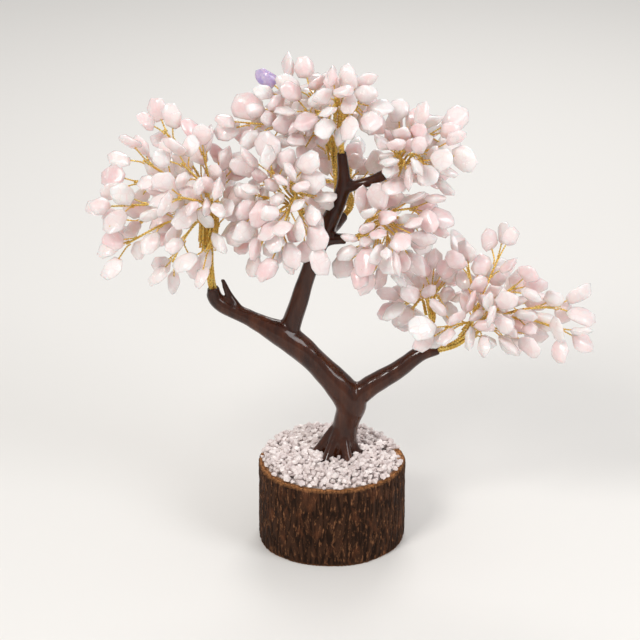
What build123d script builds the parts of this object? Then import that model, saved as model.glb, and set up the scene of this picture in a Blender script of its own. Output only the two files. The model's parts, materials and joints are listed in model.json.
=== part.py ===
from build123d import *
import math
import os
import random

import numpy as np

# A gemstone tree: a slice of a log carries a moulded trunk, bundles of twisted brass wire stand in
# sockets at the ends of its branches, each bundle opens into twigs, and every twig carries drilled
# chips of rose quartz on short wires of their own. Crushed clear quartz is glued round the foot.
# Millimetres, +Z up, origin at the middle of the log slice's underside, the front is -Y.

# Log slice and what lies on it
BASE_HEIGHT = 45.0
WOOD_DIAMETER = 74.0
BARK_THICKNESS = 3.0
BARK_SWELL = 0.7
BARK_POINTS = 22
GLUE_THICKNESS = 1.0
GLUE_EDGE = 1.2
GRAVEL_PITCH = 5.2
GRAVEL_SIZE = 4.8
GRAVEL_CORNERS = 7

# Trunk foot and its fixing in the wood
SPIGOT_DIAMETER = 10.0
SPIGOT_LENGTH = 22.0
SPIGOT_CLEARANCE = 0.15
FOOT_X = 3.0
FOOT_RADIUS = 9.5
ROOT_REACH = 18.5
ROOT_KNEE = 10.5
ROOT_RADIUS = 2.6
ROOT_RISE = 19.0
ROOT_ANGLES = (-172, -118, -62, -12, 48, 118)

# Wire
TWIG_RADIUS = 0.7
STEM_RADIUS = 0.5
WIRE_GAP = 0.12
BESIDE_GAP = 0.04
TWIG_LAY = 6.0
TWIG_CLEAR = 2.5
TWIG_RISE = 6.0
TWIG_STAGGER = 0.5
TWIG_STRAY = 8.0
BARE_BUNDLE = 8.0
STEM_LAY = 2.2
STEM_REACH = (2.0, 6.0)
STEM_LEAN = (28.0, 62.0)
TIP_LEAN = (16.0, 30.0)
TWIG_BOW = 0.07
CHIPPED_SHARE = 0.86
END_REACH = 20.0
BUNDLE_STATIONS = 4
BUNDLE_GAP = 0.35
STATION_SPACING = 4.0
BUNDLE_SPACING = 2.5

# Sockets
SOCKET_DEPTH = 7.0
SOCKET_CLEARANCE = 0.15
SOCKET_LEAD = 3.0

# Rose quartz chips
CHIP_LENGTH = (12.0, 19.0, 15.0)
CHIP_WIDTH_SHARE = (0.66, 0.92)
CHIP_THICKNESS = (3.8, 5.8)
CHIP_CORNERS = 7
FACE_CORNERS = 3
HOLE_CLEARANCE = 0.08
WIRE_TAIL = 0.5
PIECE_GAP = 0.3
TRIES = 120
SLOT_TRIES = 22
TIP_CHIPS = 2
CHIP_SPARE = 0.3
BEARING_COUNT = 70
MOST_CHIPS = 12
SEED = 11

# Crowns are bent by hand at their bundles. Pieces are placed so that no crown meets another at these
# shares of its bend, whether one crown is bent or all are.
BEND_SHARES = (0.0, 0.25, 0.5, 0.75, 1.0)
BENT = len(BEND_SHARES) - 1

# Trunk skeleton: (x, y, z, radius) of each station, all measured from the top of the log slice.
# The main limb runs from the foot to the far left, and the others grow out of it.
MAIN_LIMB = [
    (FOOT_X, 0, 0, FOOT_RADIUS),
    (FOOT_X + 2.0, 0, 10, 7.9),
    (FOOT_X + 5.0, 0, 23, 7.0),
    (FOOT_X + 6.5, 0, 36, 8.4),
    (-7, -1, 57, 6.6),
    (-23, -1, 72, 7.2),
    (-42, -1, 83, 4.7),
    (-56.5, 0, 90.5, 4.2),
    (-62, 0, 95, 3.9),
    (-63.2, 0, 101.5, 3.5),
]
UPPER_LIMB = [
    (-24, -1, 68, 5.4),
    (-21.5, 0, 80, 5.3),
    (-16.5, 0, 96, 4.9),
    (-11.5, 0, 113, 4.5),
    (-5.5, 0, 129, 4.9),
    (3.5, 0, 150, 4.3),
    (6.0, 0, 162, 3.7),
    (4.8, 0, 177.5, 2.75),
]
RIGHT_LIMB = [
    (FOOT_X + 4.0, 0, 33, 6.6),
    (21, 0, 44, 5.7),
    (36, 0, 54, 4.9),
    (48, 0, 63, 4.3),
    (57.5, 0, 65.5, 2.75),
]
RIGHT_UPPER_PRONG = [(45, 0, 60.5, 3.6), (49.5, 1, 68, 3.0), (52, 2, 76, 2.75)]
MID_LEFT_PRONG = [(-5, 0, 127, 4.0), (-10, -1, 136, 3.4), (-15.5, -3, 144.5, 2.75)]
MID_RIGHT_PRONG = [(-5, 0, 128, 4.0), (1.5, -2, 129.5, 3.2), (7.5, -4, 130.5, 2.75)]
TOP_RIGHT_PRONG = [(4.5, 0, 158, 3.6), (16, -1, 160, 3.0), (28.5, -3, 166, 2.75)]
TOP_LEFT_PRONG = [(1.5, 0.5, 141, 3.2), (2.5, 5, 145.5, 3.0), (2.5, 9, 152, 2.75)]
BACK_PRONG = [(-3, 0, 132, 3.8), (2, 7, 134, 3.2), (6.5, 13.5, 137, 2.75)]
LEFT_SPUR = [(-49, 0, 87.5, 3.2), (-54.5, 0.5, 97, 2.0), (-58, 0.5, 106, 1.0)]

# Wire crowns. Each stands in the socket at the end of its limb. "fan" is where the bundle opens,
# from the socket's mouth. "bend" is the axis that the crown turns about and how far, in degrees.
# Each twig is its tip, from the fan, and its number of chips.
CROWNS = {
    "left": {
        "limb": MAIN_LIMB,
        "root": 2.3,
        "crest": 3.6,
        "fan": (-1, 0, 40),
        "bend": ((0, -1, 0), 14),
        "twigs": [
            (-32, 6, 64, 7), (-4, -6, 57, 7), (-47, -12, 48, 8), (-57, 9, 21, 6), (-65, -10, 12, 8),
            (-58, 14, -11, 7), (-62, -14, -17, 8), (-32, -14, -37, 7), (-8, -30, -28, 6),
            (-24, -46, 34, 8), (10, -34, 28, 7), (14, 12, 38, 7), (-28, 42, 16, 7), (4, 42, 8, 6),
            (-20, -22, 52, 7),
        ],
    },
    "mid_left": {
        "limb": MID_LEFT_PRONG,
        "root": 1.75,
        "crest": 2.4,
        "fan": (-6, -7, 10),
        "bend": ((0.875, -0.429, 0.225), 10),
        "twigs": [
            (-34, -6, 3, 7), (-31, 6, 19, 7), (-20, -12, 34, 7), (3, -14, 31, 6), (25, -12, 5, 5),
            (-38, 10, -18, 6), (-30, -12, -25, 7), (-26, 8, -46, 6), (-10, -18, -40, 7),
            (13, -24, -30, 7), (-5, -32, -8, 6),
        ],
    },
    "top_left": {
        "limb": TOP_LEFT_PRONG,
        "root": 1.75,
        "crest": 2.4,
        "fan": (-3, 2, 30),
        "bend": ((-0.95, -0.3, 0), 8),
        "twigs": [
            (-20, -8, 43, 7), (-39, 0, 36, 8), (-47, -9, 26, 7), (-64, -2, 14, 8), (-24, -24, 33, 7),
            (-50, 12, 2, 7), (-30, -17, 9, 6), (-24, 34, 14, 7), (-6, 36, 20, 6),
        ],
    },
    "top": {
        "limb": UPPER_LIMB,
        "root": 1.75,
        "crest": 2.4,
        "fan": (0, -4, 26),
        "bend": ((1, 0, 0), 12),
        "twigs": [
            (4, -4, 26, 7), (16, 8, 18, 6), (26, -9, 5, 7), (-7, -28, 17, 6), (-21, -18, -2, 6),
            (17, -26, 0, 6), (10, 32, -2, 7), (-2, -24, -9, 5),
        ],
    },
    "top_right": {
        "limb": TOP_RIGHT_PRONG,
        "root": 1.75,
        "crest": 2.4,
        "fan": (8, -5, 10),
        "bend": ((-0.78, 0, 0.62), 12),
        "twigs": [
            (-4, 3, 33, 7), (12, -6, 34, 7), (30, 5, 26, 6), (36, -8, 14, 7), (31, -14, -4, 7),
            (17, -36, 10, 7), (-11, -28, 17, 6), (-1, -34, 3, 5), (17, 35, 6, 7), (24, 27, -12, 6),
        ],
    },
    "mid_right": {
        "limb": MID_RIGHT_PRONG,
        "root": 1.75,
        "crest": 2.4,
        "fan": (13, -8, 10),
        "bend": ((0.61, 0, -0.79), 18),
        "twigs": [
            (3, -16, 24, 6), (41, -8, 21, 8), (44, 6, 1, 8), (27, -26, 9, 7), (19, -33, -3, 6),
            (-13, -15, -30, 6), (0, 4, -41, 7), (9, -24, -17, 7), (30, -7, -23, 7),
        ],
    },
    "right": {
        "limb": RIGHT_LIMB,
        "root": 1.9,
        "crest": 2.6,
        "fan": (18, -6, 16),
        "bend": ((0.18, 0.97, 0.16), 24),
        "twigs": [
            (19, 7, 58, 7), (-6, 4, 52, 7), (33, -10, 40, 8), (40, 12, 18, 7), (64, -4, 18, 8),
            (64, -12, -1, 8), (38, -20, 2, 6), (8, -28, 6, 6), (-33, -20, 6, 7), (14, -37, 28, 7),
            (20, 35, 20, 7),
        ],
    },
    "right_upper": {
        "limb": RIGHT_UPPER_PRONG,
        "root": 1.75,
        "crest": 2.3,
        "fan": (0, 4, 14),
        "bend": ((-0.866, -0.48, 0.137), 24),
        "twigs": [
            (-29, -6, 7, 7), (-17, -11, 18, 6), (3, -8, 30, 7), (16, 8, 24, 6), (-7, 29, 10, 7),
            (18, 27, -2, 6), (-22, 20, -10, 6),
        ],
    },
    "back": {
        "limb": BACK_PRONG,
        "root": 1.75,
        "crest": 2.3,
        "fan": (3, 16, 8),
        "bend": ((-0.966, 0.236, -0.109), 24),
        "twigs": [
            (-34, 10, 10, 7), (-12, 8, 36, 7), (30, 12, 14, 7), (2, 36, 12, 7), (-22, 14, -24, 6),
            (24, 16, -20, 6),
        ],
    },
}
AMETHYST_TWIG = ("top_left", 1)


# Small vector helpers

def unit(v):
    return np.asarray(v, float) / np.linalg.norm(v)


def across(axis, towards):
    """The unit vector square to axis that lies nearest to towards."""
    towards = np.asarray(towards, float)
    return unit(towards - axis * np.dot(towards, axis))


def on_wood(station):
    """A skeleton station's point in the object's own frame."""
    return np.array([station[0], station[1], station[2] + BASE_HEIGHT])


def corner_cuts(points):
    """How far each inner corner's rounding reaches along its runs, and its bend radius."""
    cuts = []
    for before, corner, after in zip(points, points[1:], points[2:]):
        into, out = corner - before, after - corner
        turn = math.acos(np.clip(np.dot(unit(into), unit(out)), -1, 1))
        reach = 0.45 * min(np.linalg.norm(into), np.linalg.norm(out))
        cuts.append((reach, reach / math.tan(turn / 2)))
    return cuts


def samples_of(points, spacing=0.7):
    """Points along a wire's rounded route, close enough together to stand for the wire."""
    cuts = [(0, 0)] + corner_cuts(points) + [(0, 0)]
    route = [points[0]]
    for i in range(1, len(points) - 1):
        start = points[i] + unit(points[i - 1] - points[i]) * cuts[i][0]
        end = points[i] + unit(points[i + 1] - points[i]) * cuts[i][0]
        for t in np.linspace(0, 1, 7):
            route.append((1 - t) ** 2 * start + 2 * t * (1 - t) * points[i] + t**2 * end)
    route.append(points[-1])
    laid = []
    for a, b in zip(route, route[1:]):
        steps = max(1, math.ceil(np.linalg.norm(b - a) / spacing))
        laid += [a + (b - a) * k / steps for k in range(steps)]
    return np.array(laid + [route[-1]])


def spread_bearings(count):
    """Unit vectors spread evenly over half of all bearings, and then their opposites."""
    step = np.arange(count)
    rise = 1 - (step + 0.5) / count
    turn = step * math.pi * (3 - math.sqrt(5))
    level = np.sqrt(1 - rise**2)
    half = np.stack([level * np.cos(turn), level * np.sin(turn), rise], axis=1)
    return np.vstack([half, -half])


BEARINGS = spread_bearings(BEARING_COUNT)


# What has been placed so far, so that nothing is put through anything else

class Bend:
    """How a crown turns when its bundle is bent by hand, at each share of its bend."""
    def __init__(self, crown):
        reach = np.array(crown["fan"], float)
        bare = 1 - TWIG_LAY / np.linalg.norm(reach)
        self.pivot = on_wood(crown["limb"][-1]) + reach * bare / 2
        x, y, z = unit(crown["bend"][0])
        skew = np.array([[0, -z, y], [z, 0, -x], [-y, x, 0]])
        self.turns = []
        for share in BEND_SHARES:
            angle = math.radians(share * crown["bend"][1])
            self.turns.append(np.eye(3) + math.sin(angle) * skew + (1 - math.cos(angle)) * skew @ skew)

    def wire(self, points, pose):
        return self.pivot + (points - self.pivot) @ self.turns[pose].T

    def chip(self, chip, pose):
        reach = (chip["points"] @ self.turns[pose].T @ BEARINGS.T).max(axis=0)
        return self.wire(chip["centre"], pose), reach


def pose_pairs():
    """Which bends of two crowns are held against each other: rest first, then one bent, then both."""
    bent = range(BENT, 0, -1)
    return [(0, 0)] + [(k, 0) for k in bent] + [(0, k) for k in bent] + [(BENT, BENT)]


class Placed:
    def __init__(self):
        self.points = np.zeros((len(BEND_SHARES), 0, 3))
        self.radii = np.zeros(0)
        self.owner = np.zeros(0, int)
        self.wire_crown = np.zeros(0, int)
        self.centres = np.zeros((len(BEND_SHARES), 0, 3))
        self.reaches = np.zeros((len(BEND_SHARES), 0, len(BEARINGS)))
        self.chip_crown = np.zeros(0, int)

    def add_wire(self, points, radius, owner, crown=-1, bend=None):
        poses = [bend.wire(points, k) if bend else points for k in range(len(BEND_SHARES))]
        self.points = np.concatenate([self.points, poses], axis=1)
        self.radii = np.append(self.radii, np.broadcast_to(radius, len(points)))
        self.owner = np.append(self.owner, np.full(len(points), owner))
        self.wire_crown = np.append(self.wire_crown, np.full(len(points), crown))

    def add_chip(self, chip, crown, bend):
        centres, reaches = zip(*[bend.chip(chip, k) for k in range(len(BEND_SHARES))])
        self.centres = np.concatenate([self.centres, np.array(centres)[:, None]], axis=1)
        self.reaches = np.concatenate([self.reaches, np.array(reaches)[:, None]], axis=1)
        self.chip_crown = np.append(self.chip_crown, crown)

    def wire_is_clear(self, line, radius, gap, crown, bend, beside=None):
        """True if a wire misses every chip and wire, but for a small gap to the one that it lies beside."""
        reach = self.radii + radius + np.where(self.owner == beside, BESIDE_GAP, gap)
        for mine, theirs in pose_pairs():
            points, at_rest = bend.wire(line, mine), mine == theirs == 0
            low, high = points.min(axis=0), points.max(axis=0)
            laid = self.points[theirs]
            close = ((laid > low - reach[:, None]) & (laid < high + reach[:, None])).all(axis=1)
            close &= at_rest | (self.wire_crown != crown)
            away = np.linalg.norm(points[:, None] - laid[close][None], axis=2)
            if (away < reach[close]).any():
                return False
            centres, margin = self.centres[theirs], CHIP_LENGTH[1]
            close = ((centres > low - margin) & (centres < high + margin)).all(axis=1)
            close &= at_rest | (self.chip_crown != crown)
            between = points[:, None] - centres[close][None]
            outside = (between @ BEARINGS.T - self.reaches[theirs][close]).max(axis=2)
            if (outside < radius + PIECE_GAP).any():
                return False
        return True

    def chip_is_clear(self, chip, crown, bend):
        """True if a chip misses every wire and every other chip."""
        for mine, theirs in pose_pairs():
            (centre, reach), at_rest = bend.chip(chip, mine), mine == theirs == 0
            between = self.points[theirs] - centre
            close = np.linalg.norm(between, axis=1) < reach.max() + self.radii + PIECE_GAP
            close &= at_rest | (self.wire_crown != crown)
            outside = (between[close] @ BEARINGS.T - reach).max(axis=1)
            if (outside < self.radii[close] + PIECE_GAP).any():
                return False
            between = self.centres[theirs] - centre
            close = np.linalg.norm(between, axis=1) < CHIP_LENGTH[1] + PIECE_GAP
            close &= at_rest | (self.chip_crown != crown)
            facing = np.roll(self.reaches[theirs][close], BEARING_COUNT, axis=1)
            outside = (between[close] @ BEARINGS.T - reach - facing).max(axis=1)
            if (outside < PIECE_GAP).any():
                return False
        return True


# Layout of bundles, twigs, stems and chips

def bundle_line(crown):
    """The bundle's stations: straight out of the socket, over, then straight to the fan."""
    end, before = on_wood(crown["limb"][-1]), on_wood(crown["limb"][-2])
    along = unit(end - before)
    fan = end + np.array(crown["fan"], float)
    bend = end + along * 0.4 * np.linalg.norm(fan - end)
    leaves = end + along * SOCKET_LEAD
    opens = unit(fan - bend)
    meets = fan - opens * TWIG_LAY * 1.1
    points, radii = [end - along * SOCKET_DEPTH, end], [crown["root"], crown["root"]]
    for k in range(BUNDLE_STATIONS):
        t = k / (BUNDLE_STATIONS - 1)
        points.append((1 - t) ** 2 * leaves + 2 * t * (1 - t) * bend + t**2 * meets)
        radii.append(crown["root"] + (crown["crest"] - crown["root"]) * t)
    return points + [fan], radii + [crown["crest"]], opens


def short_of_fan(middle, distance):
    """The point of a bundle's middle line that lies the given distance short of its fan."""
    run = np.append(0, np.cumsum(np.linalg.norm(np.diff(middle[::-1], axis=0), axis=1)))
    return np.array([np.interp(distance, run, middle[::-1, k]) for k in range(3)])


def lay_twigs(crown, number, placed, rng):
    """The twigs' routes: each lies along the crest in a slot of its own, then leans out to its tip."""
    bend = Bend(crown)
    points, radii, along = bundle_line(crown)
    middle, _ = eased(points, radii, 1.0)
    fan = points[-1]
    side = across(along, (1, 0, 0))
    up = np.cross(along, side)
    bearings = [math.atan2(np.dot(t[:3], up), np.dot(t[:3], side)) for t in crown["twigs"]]
    order = sorted(range(len(bearings)), key=lambda i: bearings[i])
    pitch = 2 * math.pi / len(order)
    lag = np.array([bearings[i] - pitch * k for k, i in enumerate(order)])
    start = math.atan2(np.sin(lag).sum(), np.cos(lag).sum())
    spare = max(0.0, np.linalg.norm(crown["fan"]) - TWIG_LAY - BARE_BUNDLE) * TWIG_STAGGER
    lowest_first = sorted(range(len(order)), key=lambda i: crown["twigs"][i][2])
    free = [start + pitch * k for k in range(len(order))]
    twigs = {}
    for i in order:
        nearest = sorted(free, key=lambda slot: -math.cos(slot - bearings[i]))
        drop = spare * (1 - lowest_first.index(i) / (len(order) - 1))
        offset = np.array(crown["twigs"][i][:3], float)
        for attempt in range(TRIES):
            slot = nearest[min(attempt // SLOT_TRIES, len(nearest) - 1)]
            out = side * math.cos(slot) + up * math.sin(slot)
            beside = out * (crown["crest"] + TWIG_RADIUS + BUNDLE_GAP)
            foot = short_of_fan(middle, TWIG_LAY + drop) + beside
            rise = TWIG_RISE * rng.uniform(0, min(1, attempt / 10))
            top = fan + beside + along * (TWIG_CLEAR + rise)
            stray = np.array([rng.gauss(0, TWIG_STRAY * attempt / TRIES) for _ in range(3)])
            run = fan + offset * (1 - END_REACH / np.linalg.norm(offset)) + stray - top
            sag = across(unit(run), along + np.array([0, 0, 0.6]) + stray)
            bow = np.linalg.norm(run) * TWIG_BOW * (1 + 0.04 * attempt)
            twigs[i] = [foot, top, top + run * rng.uniform(0.42, 0.55) + sag * bow, top + run]
            line = samples_of(twigs[i])
            if placed.wire_is_clear(line, TWIG_RADIUS, WIRE_GAP, number, bend):
                free.remove(slot)
                placed.add_wire(line, TWIG_RADIUS, owner_of(number, i), number, bend)
                break
        else:
            print("a crowded twig, left out:", crown["twigs"][i])
            twigs.pop(i)
    return twigs


def new_chip(direction, size, rng):
    """A chip on a wire of the given direction: its box, the corners of its irregular shape and its reach."""
    loose = np.array([rng.gauss(0, 1) for _ in range(3)])
    length = size * rng.triangular(*CHIP_LENGTH)
    half = 0.5 * np.array([length, length * rng.uniform(*CHIP_WIDTH_SHARE), rng.uniform(*CHIP_THICKNESS)])
    long_axis = unit(direction + 0.3 * unit(loose))
    facing = np.array([rng.gauss(0, 0.8), -1.0 + rng.gauss(0, 0.6), rng.gauss(0.3, 0.8)])
    flat_axis = across(long_axis, facing)
    axes = np.array([long_axis, np.cross(flat_axis, long_axis), flat_axis])
    turn = rng.uniform(0, 2 * math.pi)
    corners = []
    for k in range(CHIP_CORNERS):
        angle = turn + 2 * math.pi * (k + rng.uniform(-0.28, 0.28)) / CHIP_CORNERS
        rim = rng.uniform(0.88, 1.0)
        corners.append([rim * math.cos(angle), rim * math.sin(angle), rng.uniform(-0.35, 0.35)])
    for k in range(2 * FACE_CORNERS):
        angle = turn + math.pi * (k + rng.uniform(-0.5, 0.5)) / FACE_CORNERS
        inset = rng.uniform(0.5, 0.74)
        face = rng.uniform(0.82, 1.0) * (-1) ** k
        corners.append([inset * math.cos(angle), inset * math.sin(angle), face])
    points = (np.array(corners) * half) @ axes
    reach = (points @ BEARINGS.T).max(axis=0)
    return {"half": half, "axes": axes, "points": points, "reach": reach, "along": direction}


def owner_of(number, index):
    """A number of its own for each twig of each crown."""
    return 100 * number + index


def hang_chips(numbers, count, twig, owner, number, bend, placed, rng):
    """Some of a twig's chips, by number: a pair at its tip, the rest by turns round its outer part."""
    laid = samples_of(twig)
    steps = np.linalg.norm(np.diff(laid, axis=0), axis=1)
    travelled = np.append(0, np.cumsum(steps))
    hung = []
    for k in numbers:
        at_tip = k < TIP_CHIPS
        share = 1.0 if at_tip else 1 - CHIPPED_SHARE * (k - 1) / (count - 1)
        turn = owner + k * (math.pi if at_tip else math.radians(137.5))
        for attempt in range(TRIES):
            loose = attempt / TRIES
            where = travelled[-1] * share - (STEM_LAY if at_tip else rng.uniform(-6, 8) * loose)
            i = int(np.clip(np.searchsorted(travelled, where), 3, len(laid) - 2))
            along = unit(laid[i + 1] - laid[i - 1])
            side = across(along, (0.2, 1, 0.4))
            angle = turn + rng.gauss(0, 0.25 + 3 * loose)
            out = side * math.cos(angle) + np.cross(along, side) * math.sin(angle)
            lean = math.radians(rng.uniform(*(TIP_LEAN if at_tip else STEM_LEAN)))
            direction = along * math.cos(lean) + out * math.sin(lean)
            foot = laid[i] + out * (TWIG_RADIUS + STEM_RADIUS + WIRE_GAP)
            leaves = foot + along * STEM_LAY
            chip = new_chip(direction, 1 - CHIP_SPARE * loose, rng)
            reach = rng.uniform(*STEM_REACH) + chip["half"][0]
            chip["centre"] = leaves + direction * reach
            stem = [foot, leaves, chip["centre"] + direction * (hole_half(chip) + WIRE_TAIL)]
            line = samples_of(stem)
            if not placed.chip_is_clear(chip, number, bend):
                continue
            if placed.wire_is_clear(line, STEM_RADIUS, PIECE_GAP, number, bend, owner):
                placed.add_chip(chip, number, bend)
                placed.add_wire(line, STEM_RADIUS, -2, number, bend)
                hung.append((stem, chip))
                break
    return hung


def hole_half(chip):
    """How far it is from a chip's middle to its skin, along its wire."""
    return float(np.min(chip["half"] / np.maximum(np.abs(chip["axes"] @ chip["along"]), 1e-6)))


# Solids

def tube(points, radius):
    """A round wire along straight runs joined by tangent arcs."""
    path = FilletPolyline(*[tuple(p) for p in points], radius=[r for _, r in corner_cuts(points)])
    return sweep(Plane(path @ 0, z_dir=path % 0) * Circle(radius), path=path)


def eased(points, radii, spacing):
    """Stations close together on a smooth line through the given ones, so that a loft can't swing wide."""
    rows = np.array([[*p, r] for p, r in zip(points, radii)])
    ends = np.vstack([2 * rows[0] - rows[1], rows, 2 * rows[-1] - rows[-2]])
    close = []
    for p0, p1, p2, p3 in zip(ends, ends[1:], ends[2:], ends[3:]):
        steps = max(1, round(np.linalg.norm(p2[:3] - p1[:3]) / spacing))
        for t in np.arange(steps) / steps:
            close.append(0.5 * (2 * p1 + (p2 - p0) * t + (2 * p0 - 5 * p1 + 4 * p2 - p3) * t**2
                                + (3 * p1 - p0 - 3 * p2 + p3) * t**3))
    close = np.array(close + [rows[-1]])
    return close[:, :3], close[:, 3]


def sections_along(points, radii):
    """Round sections square to the line through the given points."""
    sections = []
    for i, (p, r) in enumerate(zip(points, radii)):
        along = unit(points[min(i + 1, len(points) - 1)] - points[max(i - 1, 0)])
        steady = across(along, (0, 1, 0) if abs(along[1]) < 0.8 else (1, 0, 0))
        sections.append(Plane(tuple(p), x_dir=tuple(steady), z_dir=tuple(along)) * Circle(r))
    return sections


def bundle_solid(crown):
    """A bundle of wires as one round solid, in short straight spans so that it stays inside its socket."""
    points, radii, _ = bundle_line(crown)
    return loft(sections_along(*eased(points, radii, BUNDLE_SPACING)), ruled=True)


def limb_solid(stations):
    points, radii = [on_wood(s) for s in stations], [s[3] for s in stations]
    return loft(sections_along(*eased(points, radii, STATION_SPACING)))


def bark_outline():
    """The bark's uneven outer outline: a round slice with a few slow swells."""
    points = []
    for k in range(BARK_POINTS):
        a = 2 * math.pi * k / BARK_POINTS
        swell = 0.55 * math.sin(2 * a + 0.4) + 0.3 * math.sin(5 * a + 1.1) + 0.25 * math.sin(9 * a)
        r = WOOD_DIAMETER / 2 + BARK_THICKNESS + BARK_SWELL * swell
        points.append((r * math.cos(a), r * math.sin(a)))
    return make_face(Spline(*points, periodic=True))


def wood_disc():
    disc = Cylinder(WOOD_DIAMETER / 2, BASE_HEIGHT, align=(Align.CENTER, Align.CENTER, Align.MIN))
    hole = Cylinder(SPIGOT_DIAMETER / 2 + SPIGOT_CLEARANCE, SPIGOT_LENGTH + 2 * SPIGOT_CLEARANCE,
                    align=(Align.CENTER, Align.CENTER, Align.MAX))
    return disc - Pos(FOOT_X, 0, BASE_HEIGHT) * hole


def bark_ring():
    core = Cylinder(WOOD_DIAMETER / 2, BASE_HEIGHT, align=(Align.CENTER, Align.CENTER, Align.MIN))
    return extrude(bark_outline(), BASE_HEIGHT) - core


def root_stations(angle):
    """One root: out of the trunk's side, down and out to the wood."""
    a = math.radians(angle)
    high = (FOOT_X + 2 + 4 * math.cos(a), 4 * math.sin(a), ROOT_RISE, ROOT_RADIUS * 0.9)
    knee = (FOOT_X + ROOT_KNEE * math.cos(a), ROOT_KNEE * math.sin(a), ROOT_RISE * 0.3, ROOT_RADIUS * 1.25)
    toe = (FOOT_X + ROOT_REACH * math.cos(a), ROOT_REACH * math.sin(a), -1.0, ROOT_RADIUS)
    return [high, knee, toe]


def trunk():
    body = limb_solid(MAIN_LIMB)
    for stations in (UPPER_LIMB, RIGHT_LIMB, RIGHT_UPPER_PRONG, MID_LEFT_PRONG, MID_RIGHT_PRONG,
                     TOP_RIGHT_PRONG, TOP_LEFT_PRONG, BACK_PRONG, LEFT_SPUR):
        body += limb_solid(stations)
    for angle in ROOT_ANGLES:
        body += limb_solid(root_stations(angle))
    below = Pos(FOOT_X, 0, BASE_HEIGHT) * Box(90, 90, 40, align=(Align.CENTER, Align.CENTER, Align.MAX))
    body -= below
    body += Pos(FOOT_X, 0, BASE_HEIGHT + 1) * Cylinder(
        SPIGOT_DIAMETER / 2, SPIGOT_LENGTH + 1, align=(Align.CENTER, Align.CENTER, Align.MAX))
    for crown in CROWNS.values():
        end, before = on_wood(crown["limb"][-1]), on_wood(crown["limb"][-2])
        along = unit(end - before)
        mouth = Plane(tuple(end + along), z_dir=tuple(along))
        depth = SOCKET_DEPTH + SOCKET_CLEARANCE + 1
        body -= mouth * Cylinder(crown["root"] + SOCKET_CLEARANCE, depth,
                                 align=(Align.CENTER, Align.CENTER, Align.MAX))
    return body


def glue_bed():
    hole = ROOT_REACH + ROOT_RADIUS
    ring = Cylinder(WOOD_DIAMETER / 2 - GLUE_EDGE, GLUE_THICKNESS,
                    align=(Align.CENTER, Align.CENTER, Align.MIN))
    ring -= Pos(FOOT_X, 0, 0) * Cylinder(hole, 3 * GLUE_THICKNESS)
    return Pos(0, 0, BASE_HEIGHT) * ring


def gravel(rng):
    """Crushed quartz: one rough stone to each place of a close grid, clear of the edge and the roots."""
    stones = []
    rows = math.ceil(WOOD_DIAMETER / GRAVEL_PITCH)
    for j in range(-rows, rows + 1):
        for i in range(-rows, rows + 1):
            x = (i + 0.5 * (j % 2)) * GRAVEL_PITCH
            y = j * GRAVEL_PITCH * math.sqrt(3) / 2
            if math.hypot(x, y) > WOOD_DIAMETER / 2 - GLUE_EDGE - GRAVEL_SIZE / 2:
                continue
            if math.hypot(x - FOOT_X, y) < ROOT_REACH + ROOT_RADIUS + GRAVEL_SIZE / 2:
                continue
            points = []
            for _ in range(GRAVEL_CORNERS):
                d = unit([rng.gauss(0, 1) for _ in range(3)])
                points.append(d * GRAVEL_SIZE / 2 * rng.uniform(0.85, 1.0))
            lowest = min(p[2] for p in points)
            lift = np.array([x, y, BASE_HEIGHT + GLUE_THICKNESS + WIRE_GAP - lowest])
            stones.append(ConvexPolyhedron([tuple(p + lift) for p in points]).solid())
    return Compound(stones)


def chip_solid(chip):
    """One drilled chip."""
    stone = ConvexPolyhedron([tuple(p) for p in chip["centre"] + chip["points"]])
    drill = Plane(tuple(chip["centre"]), z_dir=tuple(chip["along"])) * Cylinder(
        STEM_RADIUS + HOLE_CLEARANCE, 4 * chip["half"][0])
    return (stone - drill).solid()


def write(name, shape):
    export_step(shape, f"parts/{name}.step")


# Build

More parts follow.
